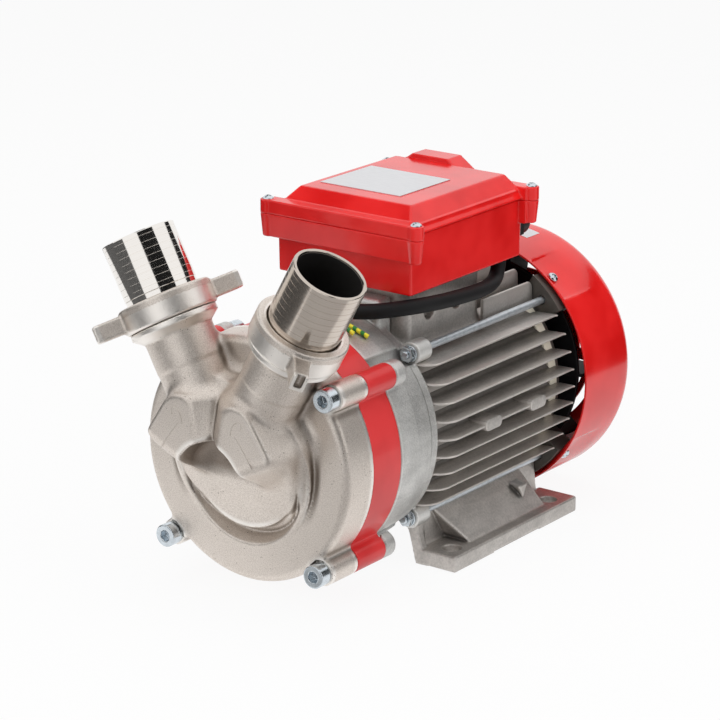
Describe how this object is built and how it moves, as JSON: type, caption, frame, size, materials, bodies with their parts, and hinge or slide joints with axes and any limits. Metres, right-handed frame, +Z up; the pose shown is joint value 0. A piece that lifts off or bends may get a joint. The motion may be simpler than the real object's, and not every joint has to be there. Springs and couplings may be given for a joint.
{
  "type": "electric transfer pump",
  "caption": "Foot-mounted electric transfer pump with a finned motor, a nickel-plated pump head, two leaning hose ports with wing nuts, a fan cover and a terminal box.",
  "frame": {"origin": "centre of the four foot holes, on the face that the feet stand on", "axes": "+X to the right seen from the pump head, +Y along the shaft from the pump head to the fan, +Z up"},
  "size_m": [0.167, 0.3231, 0.2114],
  "materials": {
    "nickel_casting": "satin nickel plate on a sand casting",
    "polished_chrome": "polished",
    "red_ring": "satin paint",
    "red_gloss": "gloss",
    "cast_aluminium": "die cast",
    "bracket_aluminium": "coarse cast, tumbled",
    "zinc_steel": "zinc plated",
    "black_plastic": "moulded",
    "black_rubber": "matt rubber",
    "core_insulation": "striped insulation",
    "plate_metal": "bare satin",
    "bright_steel": "ground",
    "core_steel": "stacked laminations",
    "copper_windings": "varnished copper",
    "impeller_brass": "machined",
    "ceramic": "lapped ceramic",
    "capacitor_case": "moulded"
  },
  "bodies": {
    "pump_unit": {"pump_casing": "nickel_casting", "hose_tail_left": "polished_chrome", "hose_tail_right": "polished_chrome", "pump_ring": "red_ring", "fan_cover": "red_gloss", "terminal_box": "red_gloss", "terminal_box_lid": "red_gloss", "motor_frame": "cast_aluminium", "rear_shield": "cast_aluminium", "motor_bracket": "bracket_aluminium", "casing_screws": "zinc_steel", "tie_rods": "zinc_steel", "tie_rod_nuts": "zinc_steel", "fan_cover_screws": "zinc_steel", "lid_screws": "zinc_steel", "box_gland": "black_plastic", "switch_body": "black_plastic", "terminal_board": "black_plastic", "supply_cord": "black_rubber", "cord_grommet": "black_rubber", "lid_gasket": "black_rubber", "casing_seal_ring": "black_rubber", "bracket_seal_ring": "black_rubber", "port_seal_left": "black_rubber", "port_seal_right": "black_rubber", "supply_cores": "core_insulation", "rating_plate": "plate_metal", "front_bearing_outer": "bright_steel", "rear_bearing_outer": "bright_steel", "wear_plate": "bright_steel", "stator_core": "core_steel", "stator_windings": "copper_windings", "seal_seat": "ceramic", "run_capacitor": "capacitor_case"},
    "rotor": {"shaft": "bright_steel", "impeller_key": "bright_steel", "impeller": "impeller_brass", "impeller_nut": "zinc_steel", "seal_rotor": "bright_steel", "front_bearing_inner": "bright_steel", "rear_bearing_inner": "bright_steel", "rotor_core": "core_steel", "cooling_fan": "black_plastic"},
    "left_nut": {"wing_nut_left": "nickel_casting"},
    "right_nut": {"wing_nut_right": "nickel_casting"},
    "rocker": {"switch_rocker": "black_plastic"}
  },
  "joints": [
    {"name": "rotor_spin", "type": "hinge", "parent": "pump_unit", "child": "rotor", "pos_m": [0, 0, 0.08], "axis": [0, 1, 0], "continuous": true},
    {"name": "left_nut_turn", "type": "hinge", "parent": "pump_unit", "child": "left_nut", "pos_m": [-0.04504, -0.169, 0.16125], "axis": [-0.4848, 0, 0.8746], "continuous": true},
    {"name": "right_nut_turn", "type": "hinge", "parent": "pump_unit", "child": "right_nut", "pos_m": [0.04504, -0.169, 0.16125], "axis": [0.4848, 0, 0.8746], "continuous": true},
    {"name": "switch_rock", "type": "hinge", "parent": "pump_unit", "child": "rocker", "pos_m": [-0.01485, 0.0465, 0.203], "axis": [0, 0, 1], "range_deg": [-20, 0]}
  ]
}
